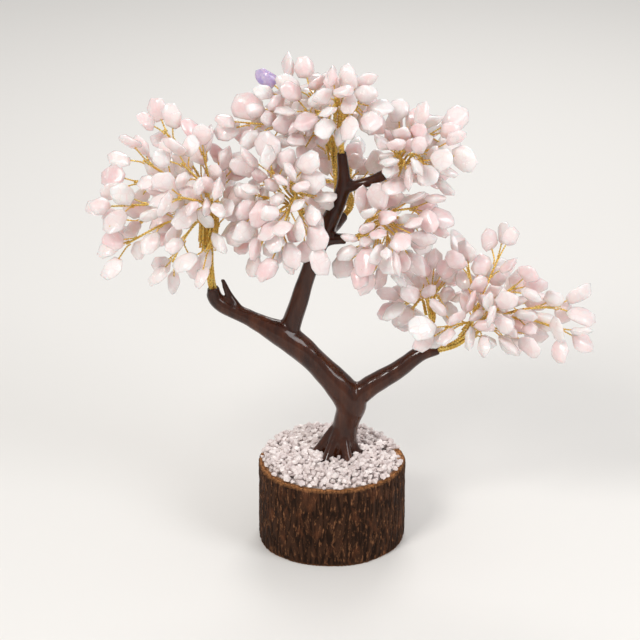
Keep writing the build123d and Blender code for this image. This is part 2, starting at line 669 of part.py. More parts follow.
def main():
    os.makedirs("parts", exist_ok=True)
    rng = random.Random(SEED)
    write("wood_disc", wood_disc())
    write("bark_ring", bark_ring())
    write("glue_bed", glue_bed())
    write("trunk", trunk())
    write("quartz_gravel", gravel(rng))

    placed = Placed()
    for stations in (MAIN_LIMB, UPPER_LIMB, RIGHT_LIMB, RIGHT_UPPER_PRONG, MID_LEFT_PRONG,
                     MID_RIGHT_PRONG, TOP_RIGHT_PRONG, TOP_LEFT_PRONG, BACK_PRONG, LEFT_SPUR):
        for a, b in zip(stations, stations[1:]):
            for t in np.linspace(0, 1, 9):
                radius = a[3] + (b[3] - a[3]) * t
                placed.add_wire((on_wood(a) * (1 - t) + on_wood(b) * t)[None], radius, -1)

    laid = {}
    for number, (name, crown) in enumerate(CROWNS.items()):
        points, radii, _ = bundle_line(crown)
        placed.add_wire(*eased(points[1:], radii[1:], 0.5), -1, number)
        laid[name] = lay_twigs(crown, number, placed, rng)

    hung = {}
    for start, stop in ((0, TIP_CHIPS), (TIP_CHIPS, MOST_CHIPS)):
        for number, (name, crown) in enumerate(CROWNS.items()):
            bend = Bend(crown)
            for index, twig in sorted(laid[name].items()):
                count = crown["twigs"][index][3]
                numbers = range(start, min(stop, count))
                more = hang_chips(numbers, count, twig, owner_of(number, index), number, bend, placed, rng)
                hung[name, index] = hung.get((name, index), []) + more

    total = 0
    for name, crown in CROWNS.items():
        points, _, _ = bundle_line(crown)
        print(name, "mouth", points[1].round(1), "fan", points[-1].round(1))
        write(f"{name}_wire_bundle", bundle_solid(crown))
        wires, chips, wanted = [], [], 0
        for index, twig in sorted(laid[name].items()):
            wires.append(tube(twig, TWIG_RADIUS).solid())
            wires += [tube(stem, STEM_RADIUS).solid() for stem, _ in hung[name, index]]
            stones = [chip_solid(chip) for _, chip in hung[name, index]]
            if (name, index) == AMETHYST_TWIG:
                write("amethyst_chip", stones.pop(0))
            chips += stones
            wanted += crown["twigs"][index][3]
        write(f"{name}_wires", Compound(wires))
        write(f"{name}_chips", Compound(chips))
        total += len(chips)
        print(name, "chips", len(chips), "of", wanted, "wires", len(wires))
    print("rose quartz chips", total)


main()
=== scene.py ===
import bpy
import bmesh
import json
import math
import random
import numpy as np
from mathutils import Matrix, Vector, noise
from mathutils.bvhtree import BVHTree

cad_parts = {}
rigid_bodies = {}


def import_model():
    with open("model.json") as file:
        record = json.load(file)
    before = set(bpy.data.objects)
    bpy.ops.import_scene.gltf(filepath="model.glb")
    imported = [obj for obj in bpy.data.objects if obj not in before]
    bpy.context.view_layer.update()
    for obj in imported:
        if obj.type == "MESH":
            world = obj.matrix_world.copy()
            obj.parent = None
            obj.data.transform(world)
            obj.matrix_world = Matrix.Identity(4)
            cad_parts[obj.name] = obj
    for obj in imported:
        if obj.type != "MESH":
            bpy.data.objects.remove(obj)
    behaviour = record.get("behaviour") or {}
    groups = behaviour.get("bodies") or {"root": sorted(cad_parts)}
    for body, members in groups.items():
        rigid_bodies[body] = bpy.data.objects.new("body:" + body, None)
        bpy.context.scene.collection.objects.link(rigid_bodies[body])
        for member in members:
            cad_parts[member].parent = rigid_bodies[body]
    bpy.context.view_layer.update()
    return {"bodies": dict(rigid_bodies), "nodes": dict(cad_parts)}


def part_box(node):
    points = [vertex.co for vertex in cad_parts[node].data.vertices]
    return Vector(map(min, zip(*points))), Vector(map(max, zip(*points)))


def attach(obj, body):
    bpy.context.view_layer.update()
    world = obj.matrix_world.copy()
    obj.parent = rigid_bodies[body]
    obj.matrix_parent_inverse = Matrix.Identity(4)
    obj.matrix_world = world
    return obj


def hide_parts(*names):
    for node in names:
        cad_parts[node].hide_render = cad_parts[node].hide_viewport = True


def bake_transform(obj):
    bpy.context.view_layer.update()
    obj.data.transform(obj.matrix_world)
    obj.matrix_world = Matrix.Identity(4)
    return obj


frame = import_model()
scene = bpy.context.scene
scene.view_settings.view_transform = "Standard"
crownNames = [body[:-6] for body in frame["bodies"] if body.endswith("_crown")]
print("frame loaded,", len(crownNames), "crowns")

# view, floor and light
view = {
    "target": (-0.0063, 0.0, 0.1275),
    "elevation": 23.0,
    "distance": 1.40,
    "lens": 148.0,
    "sensor": 36.0,
    "nearest": 0.05,
}
studio = {
    "floor": (0.80, 0.79, 0.77),
    "floorReach": 3.0,
    "floorRoughness": 0.75,
    "world": (1.0, 0.985, 0.97),
    "worldStrength": 0.52,
    "lampTarget": (0, 0, 0.14),
    "lamps": [  # place, size, watts, colour
        ((-0.55, -0.75, 1.05), 0.36, 7.7, (1.0, 0.975, 0.94)),
        ((0.75, -0.55, 0.70), 0.45, 4.2, (0.98, 0.985, 1.0)),
        ((0.10, 0.85, 0.85), 0.50, 4.0, (1.0, 0.98, 0.96)),
    ],
}


def aim(thing, target):
    thing.rotation_euler = (Vector(target) - thing.location).to_track_quat("-Z", "Y").to_euler()


def setStage():
    lens = bpy.data.cameras.new("view")
    lens.lens = view["lens"]
    lens.sensor_width = view["sensor"]
    lens.clip_start = view["nearest"]
    camera = bpy.data.objects.new("view", lens)
    scene.collection.objects.link(camera)
    lift = math.radians(view["elevation"])
    away = Vector((0, -math.cos(lift), math.sin(lift)))
    camera.location = Vector(view["target"]) + view["distance"] * away
    aim(camera, view["target"])
    scene.camera = camera
    for k, (place, size, watts, colour) in enumerate(studio["lamps"]):
        lamp = bpy.data.lights.new(f"softbox{k}", "AREA")
        lamp.size = size
        lamp.energy = watts
        lamp.color = colour
        box = bpy.data.objects.new(f"softbox{k}", lamp)
        scene.collection.objects.link(box)
        box.location = place
        aim(box, studio["lampTarget"])
    world = bpy.data.worlds.new("studio")
    world.use_nodes = True
    back = world.node_tree.nodes["Background"]
    back.inputs["Color"].default_value = (*studio["world"], 1)
    back.inputs["Strength"].default_value = studio["worldStrength"]
    scene.world = world
    me = bpy.data.meshes.new("floor")
    far = studio["floorReach"]
    me.from_pydata([(-far, -far, 0), (far, -far, 0), (far, far, 0), (-far, far, 0)], [], [(0, 1, 2, 3)])
    floor = bpy.data.objects.new("floor", me)
    scene.collection.objects.link(floor)
    paint = bpy.data.materials.new("floorPaint")
    paint.use_nodes = True
    shader = paint.node_tree.nodes["Principled BSDF"]
    shader.inputs["Base Color"].default_value = (*studio["floor"], 1)
    shader.inputs["Roughness"].default_value = studio["floorRoughness"]
    me.materials.append(paint)


setStage()
print("stage set")


# small helpers for node trees and meshes
class Finish:
    def __init__(self, name):
        self.mat = bpy.data.materials.new(name)
        self.mat.use_nodes = True
        self.tree = self.mat.node_tree
        self.shader = self.tree.nodes["Principled BSDF"]
        self.place = self.add("ShaderNodeTexCoord").outputs["Object"]

    def add(self, kind, **settings):
        node = self.tree.nodes.new(kind)
        for key, value in settings.items():
            if hasattr(node, key):
                setattr(node, key, value)
            else:
                node.inputs[key].default_value = value
        return node

    def join(self, out, into):
        self.tree.links.new(out, into)

    def set(self, **values):
        for key, value in values.items():
            self.shader.inputs[key.replace("_", " ")].default_value = value

    def stretched(self, scale):
        mapping = self.add("ShaderNodeMapping")
        mapping.inputs["Scale"].default_value = scale
        self.join(self.place, mapping.inputs["Vector"])
        return mapping.outputs["Vector"]

    def noise(self, scale, detail=4.0, rough=0.55, vector=None):
        node = self.add("ShaderNodeTexNoise", Scale=scale, Detail=detail, Roughness=rough)
        self.join(vector or self.place, node.inputs["Vector"])
        return node.outputs["Fac"]

    def ramp(self, fac, stops):
        node = self.add("ShaderNodeValToRGB")
        bar = node.color_ramp.elements
        while len(bar) < len(stops):
            bar.new(0.5)
        for element, (at, colour) in zip(bar, stops):
            element.position = at
            element.color = (*colour, 1)
        self.join(fac, node.inputs["Fac"])
        return node.outputs["Color"]

    def span(self, fac, low, high, fromLow=0.3, fromHigh=0.7):
        node = self.add("ShaderNodeMapRange")
        ends = {"From Min": fromLow, "From Max": fromHigh, "To Min": low, "To Max": high}
        for key, value in ends.items():
            node.inputs[key].default_value = value
        self.join(fac, node.inputs["Value"])
        return node.outputs["Result"]

    def mix(self, fac, a, b):  # from a to b, which may be a plain colour
        node = self.add("ShaderNodeMix", data_type="RGBA")
        self.join(fac, node.inputs[0])
        self.join(a, node.inputs[6])  # 6 and 7 are the two colours
        if isinstance(b, tuple):
            node.inputs[7].default_value = (*b, 1)
        else:
            self.join(b, node.inputs[7])
        return node.outputs[2]

    def attribute(self, name):
        return self.add("ShaderNodeAttribute", attribute_name=name).outputs["Fac"]

    def bump(self, height, strength, distance):
        node = self.add("ShaderNodeBump", Strength=strength, Distance=distance)
        self.join(height, node.inputs["Height"])
        self.join(node.outputs["Normal"], self.shader.inputs["Normal"])

    def colour(self, out):
        self.join(out, self.shader.inputs["Base Color"])

    def roughness(self, out):
        self.join(out, self.shader.inputs["Roughness"])


def newPiece(name, verts, faces, finish, slot, replaces, body=None, smooth=True):
    me = bpy.data.meshes.new(name)
    me.from_pydata(verts, [], faces)
    me.validate()
    me.polygons.foreach_set("use_smooth", [smooth] * len(me.polygons))
    me.materials.append(finish.mat)
    me.update()
    piece = bpy.data.objects.new(name, me)
    scene.collection.objects.link(piece)
    if body:
        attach(piece, body)
    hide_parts(*replaces)
    return piece


def storeValues(me, name, values):
    layer = me.attributes.new(name, "FLOAT", "POINT")
    layer.data.foreach_set("value", np.asarray(values, np.float32))


def settle(piece):  # modifiers into the mesh
    graph = bpy.context.evaluated_depsgraph_get()
    me = bpy.data.meshes.new_from_object(piece.evaluated_get(graph))
    piece.modifiers.clear()
    piece.data = me
    return me


weldGap = 4e-6  # CAD points closer than this are one


def weldedIslands(node):  # a CAD node's solids, each as its own list of joined-up vertices
    bm = bmesh.new()
    bm.from_mesh(frame["nodes"][node].data)
    bmesh.ops.remove_doubles(bm, verts=bm.verts, dist=weldGap)
    bm.normal_update()
    bm.verts.index_update()
    seen, islands = set(), []
    for first in bm.verts:
        if first.index in seen:
            continue
        island, queue = [], [first]
        seen.add(first.index)
        while queue:
            v = queue.pop()
            island.append(v)
            for e in v.link_edges:
                w = e.other_vert(v)
                if w.index not in seen:
                    seen.add(w.index)
                    queue.append(w)
        islands.append(island)
    return bm, islands


# brass wire: twisted strands along every tube of the CAD model
wire = {
    "stem": {"strands": 2, "offset": 0.00024, "radius": 0.00026, "pitch": 0.0028, "sides": 5, "step": 0.00038},
    "twig": {"strands": 3, "offset": 0.00037, "radius": 0.00034, "pitch": 0.0046, "sides": 5, "step": 0.00055},
    "rope": {"strands": 2, "offset": 0.00034, "radius": 0.00038, "pitch": 0.0036, "sides": 5, "step": 0.0005},
    "thickFrom": 0.0006,  # tubes with a larger radius than this are twigs
    "hidden": 0.0052,  # how much of a stem's end is left out, inside its chip
    "stemTwist": (0.85, 1.2),  # spread of the pitch from wire to wire
    "flat": 0.9998,  # faces this close in direction are one flat end
    "endFaces": 4,
    "roundness": 0.05,  # how far an end's rim may stray from a circle
    "fewest": 4,  # points on a line
    "easing": 2,  # passes that take the kinks out of a line
    "firstSide": (0.31, 0.87, 0.38),
}
bundle = {
    "feel": 0.0008,  # step along a bundle's middle
    "feelers": 16,
    "feelReach": 3,  # in radii
    "follow": 0.3,
    "longest": 400,  # steps
    "pitch": 0.075,
    "taper": 0.007,  # the ropes close up over this length at the fan
    "closed": 0.02,
    "coreInset": 1.9,  # in rope thicknesses
    "coreLeast": 0.0003,
    "coreSides": 10,
    "ringLeast": 0.0002,
    "spacing": 1.75,  # from rope to rope, in rope thicknesses
    "wander": 0.25,
    "wanderLength": 0.009,
    "twist": (0.9, 1.15),
    "mouth": 0.0072,  # the bend starts this far from the root, at the socket's mouth
    "mouthMost": 0.9,
    "fan": 0.0065,  # and ends this far before the fan
    "fanLeast": 0.35,
}
fullTurn = 6.28


def tubeLine(island):  # middle line and radius of one tube, ring by ring from its end face
    ends, tried = None, set()
    for v in island:
        for f in v.link_faces:
            if f.index in tried:
                continue
            flat, queue = [f], [f]
            tried.add(f.index)
            while queue:
                g = queue.pop()
                for e in g.edges:
                    for h in e.link_faces:
                        if h.index not in tried and h.normal.dot(f.normal) > wire["flat"]:
                            tried.add(h.index)
                            flat.append(h)
                            queue.append(h)
            rim = {w for h in flat for w in h.verts}
            pts = np.array([w.co for w in rim])
            reach = np.linalg.norm(pts - pts.mean(axis=0), axis=1)
            isRound = reach.std() < wire["roundness"] * reach.mean()
            if len(flat) >= wire["endFaces"] and isRound:  # an end, and not a strip of the side
                ends = rim
                break
        if ends:
            break
    visited = {v.index for v in ends}
    ring, line, radii = list(ends), [], []
    while ring:
        pts = np.array([v.co for v in ring])
        middle = pts.mean(axis=0)
        line.append(middle)
        radii.append(np.linalg.norm(pts - middle, axis=1).mean())
        after = []
        for v in ring:
            for e in v.link_edges:
                w = e.other_vert(v)
                if w.index not in visited:
                    visited.add(w.index)
                    after.append(w)
        ring = after
    return np.array(line), np.array(radii)


def coreLine(bm, island):  # a bundle's middle line and radius, felt from inside in short steps
    line, radii = tubeLine(island)
    skin = BVHTree.FromBMesh(bm)
    centre, way, reach = Vector(line[0]), Vector(line[1] - line[0]).normalized(), radii[0]
    line, radii = [np.array(centre)], [reach]
    feelers = bundle["feelers"]
    turns = [2 * math.pi * k / feelers for k in range(feelers)]
    while len(line) < bundle["longest"]:
        here = centre + way * bundle["feel"]
        side = way.orthogonal().normalized()
        up = way.cross(side)
        rays = [side * math.cos(a) + up * math.sin(a) for a in turns]
        hits = [skin.ray_cast(here, ray, bundle["feelReach"] * reach)[0] for ray in rays]
        if skin.ray_cast(here, way)[0] is None or None in hits:
            break
        middle = sum(hits, Vector()) / len(hits)
        way = (way + bundle["follow"] * (middle - centre).normalized()).normalized()
        centre, reach = middle, sum((h - middle).length for h in hits) / len(hits)
        line.append(np.array(centre))
        radii.append(reach)
    return np.array(line), np.array(radii)


def evenLine(line, radii, step):  # the same line in even steps
    run = np.append(0, np.cumsum(np.linalg.norm(np.diff(line, axis=0), axis=1)))
    count = max(wire["fewest"], int(run[-1] / step) + 1)
    at = np.linspace(0, run[-1], count)
    even = np.stack([np.interp(at, run, line[:, k]) for k in range(3)], axis=1)
    for _ in range(wire["easing"]):
        even[1:-1] = 0.25 * even[:-2] + 0.5 * even[1:-1] + 0.25 * even[2:]
    return even, np.interp(at, run, radii), at


def carriedFrame(line):  # directions along a line that don't spin round it
    along = np.gradient(line, axis=0)
    along /= np.linalg.norm(along, axis=1)[:, None]
    side = np.zeros_like(line)
    start = np.array(wire["firstSide"])
    for k in range(len(line)):
        start = start - along[k] * np.dot(start, along[k])
        start = start / np.linalg.norm(start)
        side[k] = start
    return side, np.cross(along, side)


class Strands:  # collects strand tubes into one mesh
    def __init__(self):
        self.verts, self.faces, self.count = [], [], 0

    def lay(self, path, radius, sides, up):
        along = np.gradient(path, axis=0)
        along /= np.linalg.norm(along, axis=1)[:, None]
        u = up - along * np.sum(up * along, axis=1)[:, None]
        u /= np.linalg.norm(u, axis=1)[:, None]
        v = np.cross(along, u)
        turn = np.arange(sides) * 2 * math.pi / sides
        radius = np.broadcast_to(radius, len(path))[:, None, None]
        cos, sin = np.cos(turn)[None, :, None], np.sin(turn)[None, :, None]
        rings = path[:, None] + radius * (cos * u[:, None] + sin * v[:, None])
        self.verts.append(rings.reshape(-1, 3))
        n, first = len(path), self.count
        for k in range(n - 1):
            a, b = first + k * sides, first + (k + 1) * sides
            self.faces += [(a + j, a + (j + 1) % sides, b + (j + 1) % sides, b + j) for j in range(sides)]
        self.faces.append(tuple(first + j for j in reversed(range(sides))))
        self.faces.append(tuple(first + (n - 1) * sides + j for j in range(sides)))
        self.count += n * sides

    def twist(self, line, at, kind, phase, stretch):
        side, cross = carriedFrame(line)
        for k in range(kind["strands"]):
            turns = at / (kind["pitch"] * stretch) + k / kind["strands"]
            angle = (phase + 2 * math.pi * turns)[:, None]
            out = np.cos(angle) * side + np.sin(angle) * cross
            self.lay(line + kind["offset"] * out, kind["radius"], kind["sides"], out)

    def piece(self, name, finish, **ties):
        return newPiece(name, np.vstack(self.verts), self.faces, finish, **ties)


def brassFinish():
    f = Finish("brassWire")
    worn = f.noise(420.0, 3.0)
    golds = [(0.30, (0.78, 0.46, 0.08)), (0.48, (0.94, 0.66, 0.16)), (0.72, (0.99, 0.80, 0.30))]
    f.colour(f.ramp(worn, golds))
    f.set(Metallic=0.72)
    f.roughness(f.span(worn, 0.36, 0.22))
    f.bump(f.noise(2600.0, 2.0), 0.25, 0.0001)
    return f


def middles(node):  # middle of every solid of a node
    bm, islands = weldedIslands(node)
    found = np.array([np.mean([v.co for v in island], axis=0) for island in islands])
    bm.free()
    return found


def shortened(line, radii, chipMiddles):  # a stem's tail ends inside the chip that it holds
    close, _, _ = evenLine(line, radii, wire["stem"]["step"])
    gaps = np.linalg.norm(chipMiddles[:, None] - close[None], axis=2).min(axis=1)
    start, end = (np.linalg.norm(chipMiddles[gaps.argmin()] - line[k]) for k in (0, -1))
    if start < end:
        line, radii = line[::-1], radii[::-1]
    run = np.append(0, np.cumsum(np.linalg.norm(np.diff(line, axis=0), axis=1)))
    keep = run < run[-1] - wire["hidden"]
    last = np.array([np.interp(run[-1] - wire["hidden"], run, line[:, k]) for k in range(3)])
    return np.vstack([line[keep], last]), np.append(radii[keep], radii[-1])


def makeWires(finish):
    rng = random.Random(5)
    for name in crownNames:
        chipMiddles = middles(f"{name}_chips")
        if name == "top_left":
            chipMiddles = np.vstack([chipMiddles, middles("amethyst_chip")])
        bm, islands = weldedIslands(f"{name}_wires")
        strands = Strands()
        for island in islands:
            line, radii = tubeLine(island)
            kind = wire["twig"] if np.median(radii) > wire["thickFrom"] else wire["stem"]
            if kind is wire["stem"]:
                line, radii = shortened(line, radii, chipMiddles)
            line, _, at = evenLine(line, radii, kind["step"])
            strands.twist(line, at, kind, rng.uniform(0, fullTurn), rng.uniform(*wire["stemTwist"]))
        bm.free()
        strands.piece(f"{name}_twig_wires", finish, body=f"{name}_crown", slot="brass_wire",
                      replaces=[f"{name}_wires"])


def makeBundles(finish):
    rng = random.Random(6)
    kind = wire["rope"]
    thick = kind["offset"] + kind["radius"]
    for name in crownNames:
        bm, islands = weldedIslands(f"{name}_wire_bundle")
        line, radii = coreLine(bm, islands[0])
        bm.free()
        if radii[0] > radii[-1]:
            line, radii = line[::-1], radii[::-1]  # root first
        line, radii, at = evenLine(line, radii, kind["step"])
        side, cross = carriedFrame(line)
        drawnIn = np.clip((at[-1] - at) / bundle["taper"], bundle["closed"], 1.0)[:, None] ** 0.5
        strands = Strands()
        core = np.maximum(radii - bundle["coreInset"] * thick, bundle["coreLeast"]) * drawnIn[:, 0]
        strands.lay(line, core, bundle["coreSides"], side)  # the wires inside, as one
        reach = np.maximum(radii - thick, bundle["ringLeast"])[:, None] * drawnIn
        crest = float(np.mean(radii[-6:]) - thick)  # at the thick end
        count = round(2 * math.pi * crest / (bundle["spacing"] * thick))
        for k in range(count):
            wander = bundle["wander"] * np.sin(at / bundle["wanderLength"] + rng.uniform(0, fullTurn))
            angle = (2 * math.pi * k / count + 2 * math.pi * at / bundle["pitch"] + wander)[:, None]
            rope = line + reach * (np.cos(angle) * side + np.sin(angle) * cross)
            strands.twist(rope, at, kind, rng.uniform(0, fullTurn), rng.uniform(*bundle["twist"]))
        piece = strands.piece(f"{name}_bundle_strands", finish, slot="brass_wire",
                              replaces=[f"{name}_wire_bundle"])
        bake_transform(piece)


brass = brassFinish()
makeWires(brass)
makeBundles(brass)
print("wires twisted")

# rose quartz chips: every CAD chip with its hole closed and its edges worn
chips = {
    "flatWithin": 3.0,  # degrees
    "cuts": 3,
    "wear": 0.38,
    "regrow": 1.06,  # makes up for the wear
    "unevenness": 0.00024,
    "waves": [(330, 1.0), (800, 0.5)],  # scale and share
    "toneSpread": [0.06, 0.16, 0.24, 0.32, 0.40, 0.48, 0.55, 0.62, 0.72, 0.9],
    "toneStray": 0.05,
}


def tumbled(island, rng):
    bm = bmesh.new()
    for v in island:
        bm.verts.new(v.co)
    hull = bmesh.ops.convex_hull(bm, input=bm.verts, use_existing_faces=False)
    inner = hull["geom_interior"] + hull["geom_unused"]
    spare = {g for g in inner if isinstance(g, bmesh.types.BMVert)}
    bmesh.ops.delete(bm, geom=list(spare), context="VERTS")
    limit = math.radians(chips["flatWithin"])
    bmesh.ops.dissolve_limit(bm, angle_limit=limit, verts=bm.verts, edges=bm.edges)
    bmesh.ops.triangulate(bm, faces=bm.faces)
    middle = sum((v.co for v in bm.verts), Vector()) / len(bm.verts)
    bmesh.ops.subdivide_edges(bm, edges=bm.edges, cuts=chips["cuts"], use_grid_fill=True)
    bmesh.ops.smooth_vert(bm, verts=bm.verts, factor=chips["wear"],
                          use_axis_x=True, use_axis_y=True, use_axis_z=True)
    bm.normal_update()
    shift = Vector((rng.uniform(-9, 9), rng.uniform(-9, 9), rng.uniform(-9, 9)))
    for v in bm.verts:
        wave = sum(share * noise.noise(v.co * scale + shift) for scale, share in chips["waves"])
        v.co = middle + (v.co - middle) * chips["regrow"] + v.normal * wave * chips["unevenness"]
    bm.verts.index_update()
    verts = [v.co.copy() for v in bm.verts]
    faces = [tuple(v.index for v in f.verts) for f in bm.faces]
    bm.free()
    return verts, faces


def makeChips(node, body, finish, slot, rng):
    bm, islands = weldedIslands(node)
    verts, faces, tones = [], [], []
    stray = chips["toneStray"]
    for island in islands:
        newVerts, newFaces = tumbled(island, rng)
        faces += [tuple(len(verts) + i for i in f) for f in newFaces]
        verts += newVerts
        tones += [rng.choice(chips["toneSpread"]) + rng.uniform(-stray, stray)] * len(newVerts)
        rng.random()  # a spare draw for each chip, which keeps the shapes of those after it
    bm.free()
    piece = newPiece(f"{node}_tumbled", verts, faces, finish, body=body, slot=slot, replaces=[node])
    storeValues(piece.data, "tone", tones)


def quartzFinish(name, stops, depth):
    f = Finish(name)
    body = f.ramp(f.attribute("tone"), stops)
    cloud = f.noise(210.0, 5.0, 0.6)
    milky = f.mix(f.span(cloud, 0.0, 0.55, 0.42, 0.68), body, (0.97, 0.92, 0.91))
    crack = f.add("ShaderNodeTexVoronoi", feature="DISTANCE_TO_EDGE", Scale=190.0)
    f.join(f.place, crack.inputs["Vector"])
    veined = f.mix(f.span(crack.outputs["Distance"], 0.35, 0.0, 0.0, 0.05), milky, depth)
    f.colour(veined)
    f.roughness(f.span(cloud, 0.12, 0.30))
    f.set(Subsurface_Weight=0.6, Subsurface_Scale=0.006, Transmission_Weight=0.10, IOR=1.54)
    f.set(Coat_Weight=0.25, Coat_Roughness=0.08)
    f.shader.inputs["Subsurface Radius"].default_value = (1.0, 0.55, 0.5)
    f.bump(f.noise(900.0, 4.0), 0.16, 0.0004)
    return f


rosePinks = [
    (0.0, (0.98, 0.92, 0.91)),
    (0.3, (0.98, 0.84, 0.83)),
    (0.6, (0.97, 0.77, 0.77)),
    (1.0, (0.95, 0.66, 0.67)),
]
lavenders = [(0.0, (0.62, 0.54, 0.78)), (1.0, (0.45, 0.36, 0.66))]
roseQuartz = quartzFinish("roseQuartz", rosePinks, (0.88, 0.62, 0.63))
amethyst = quartzFinish("lavenderQuartz", lavenders, (0.40, 0.30, 0.60))
chipRng = random.Random(21)
for crownName in crownNames:
    makeChips(f"{crownName}_chips", f"{crownName}_crown", roseQuartz, "rose_quartz", chipRng)
makeChips("amethyst_chip", "top_left_crown", amethyst, "amethyst", chipRng)
print("chips tumbled")

# trunk: the CAD limbs melted together, with slow ridges, under gloss lacquer
trunk = {
    "voxel": 0.0008,
    "smoothing": 10,
    "smoothBy": 0.5,
    "ridges": [((95, 95, 30), 0.00050), ((230, 230, 70), 0.00022)],
}


def makeTrunk():
    f = Finish("brownLacquer")
    grain = f.noise(55.0, 5.0, 0.6, f.stretched((3.0, 3.0, 0.8)))
    browns = [(0.28, (0.020, 0.005, 0.0025)), (0.52, (0.050, 0.014, 0.006)), (0.78, (0.100, 0.030, 0.012))]
    f.colour(f.ramp(grain, browns))
    f.roughness(f.span(f.noise(160.0, 4.0), 0.14, 0.26))
    f.set(Specular_IOR_Level=0.15, Coat_Weight=0.5, Coat_Roughness=0.03, IOR=1.45)
    f.bump(f.noise(300.0, 5.0, 0.6, f.stretched((2.5, 2.5, 0.7))), 0.22, 0.0006)
    me = frame["nodes"]["trunk"].data.copy()
    piece = bpy.data.objects.new("trunk_moulding", me)
    scene.collection.objects.link(piece)
    melt = piece.modifiers.new("melt", "REMESH")
    melt.mode = "VOXEL"
    melt.voxel_size = trunk["voxel"]
    soft = piece.modifiers.new("soft", "SMOOTH")
    soft.factor = trunk["smoothBy"]
    soft.iterations = trunk["smoothing"]
    me = settle(piece)
    normals = [v.normal.copy() for v in me.vertices]
    for v, n in zip(me.vertices, normals):
        wave = 0
        for scale, depth in trunk["ridges"]:
            wave += depth * noise.noise(Vector((v.co.x * scale[0], v.co.y * scale[1], v.co.z * scale[2])))
        v.co += n * wave
    me.polygons.foreach_set("use_smooth", [True] * len(me.polygons))
    me.materials.clear()
    me.materials.append(f.mat)
    me.update()
    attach(piece, "tree")
    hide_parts("trunk")
    return piece


trunkPiece = makeTrunk()
print("trunk moulded")

# log slice: bark with upright ridges and flakes, cut wood, set glue
bark = {
    "around": 640,
    "rows": 96,
    "fissure": 0.00045,
    "flake": 0.0004,
    "crumb": 0.00022,
    "rim": 5,  # rings on each cut face
    "outerFrom": 0.4,  # share of the ring's thickness past which a point is on the outside
    "warp": (70, 0.66),  # scale and amount
    "ridgeScale": (430, 62),  # across and along
    "flakeScale": (560, 190),
    "crumbScale": 1500,
    "sharpness": (2.1, 1.6),
    "wornEdge": 0.03,  # share of the height
    "wornBack": 0.0007,
    "faceInset": 0.0009,
    "faceGrain": 0.00012,
}


def barkRadius():  # outer radius of the CAD bark at each bearing
    co = np.array([v.co for v in frame["nodes"]["bark_ring"].data.vertices])
    r = np.hypot(co[:, 0], co[:, 1])
    inner = r.min()
    outer = r > inner + bark["outerFrom"] * (r.max() - inner)
    bearing = np.arctan2(co[outer, 1], co[outer, 0])
    order = np.argsort(bearing)
    return inner, bearing[order], r[outer][order], co[:, 2].max()


def barkDepth(a, z, r):  # fissure (0 on a ridge, 1 in the deep), flake and crumb
    p = Vector((math.cos(a) * r, math.sin(a) * r, z))
    warpScale, warpBy = bark["warp"]
    warp = warpBy * noise.noise(p * warpScale)
    across, along = bark["ridgeScale"]
    narrow, power = bark["sharpness"]
    ridge = 1 - abs(noise.noise(Vector((p.x * across + warp, p.y * across - warp, p.z * along)))) * narrow
    across, along = bark["flakeScale"]
    flake = 0.5 + 0.5 * noise.noise(Vector((p.x * across, p.y * across, p.z * along)))
    crumb = noise.noise(p * bark["crumbScale"])
    return max(0.0, ridge) ** power, flake, crumb


